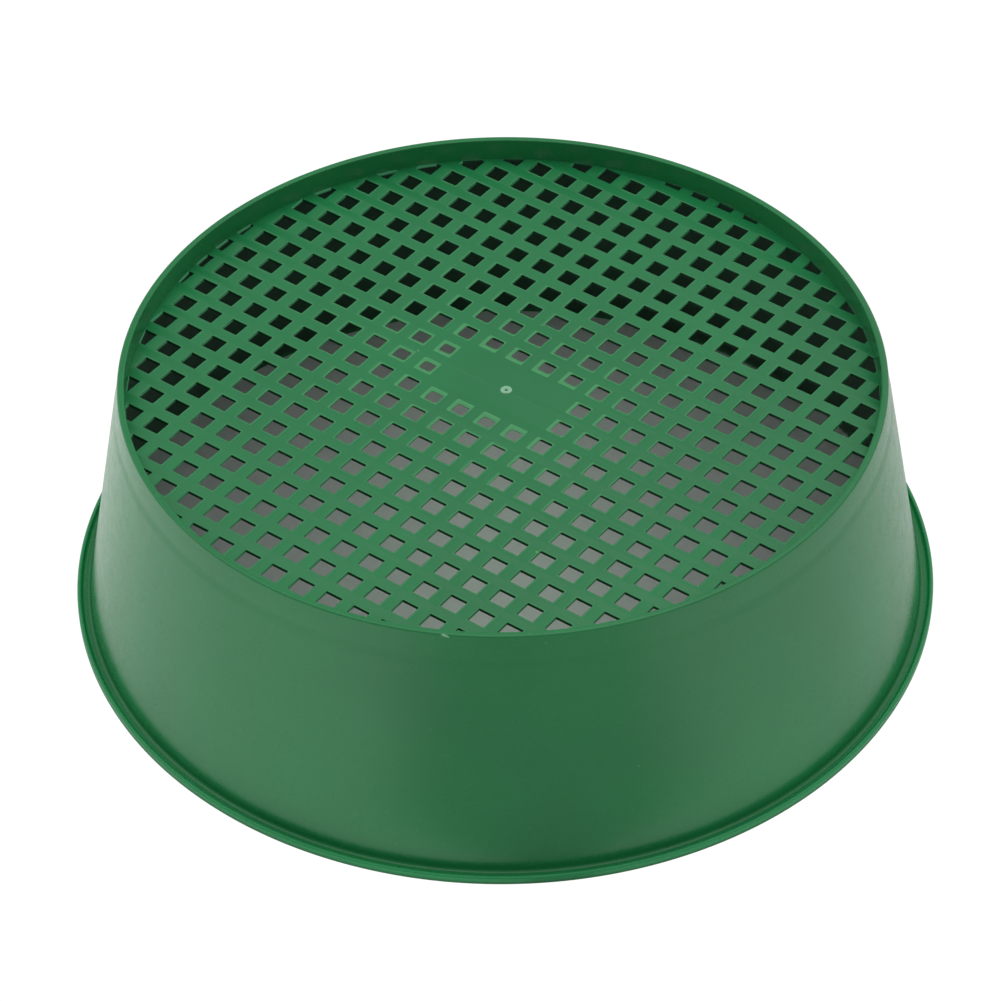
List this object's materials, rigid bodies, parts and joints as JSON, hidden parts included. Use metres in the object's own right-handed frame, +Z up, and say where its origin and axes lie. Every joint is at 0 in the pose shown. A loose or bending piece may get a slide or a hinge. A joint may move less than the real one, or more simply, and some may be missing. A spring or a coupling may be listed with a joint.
{
  "type": "soil sieve",
  "caption": "Round green plastic garden sieve standing on its mouth: tapering wall, turned-over rim, flat grid of square holes with a solid middle plate, and a short foot ring.",
  "frame": {"origin": "on the sieve's axis, in the plane of the mouth's rim that it stands on", "axes": "+Z up the axis from the mouth to the foot ring; the grid's bars run along X and Y, and the long side of the solid middle plate runs along X"},
  "size_m": [0.311, 0.311, 0.096],
  "materials": {
    "green_wall": "satin moulded",
    "green_grid": "satin moulded",
    "pale_gate": "stress-whitened break"
  },
  "bodies": {
    "root": {"side_wall": "green_wall", "mouth_flange": "green_wall", "rim_lip": "green_wall", "foot_ring": "green_wall", "sieve_grid": "green_grid", "centre_plate": "green_grid", "gate_mark": "pale_gate"}
  },
  "joints": []
}
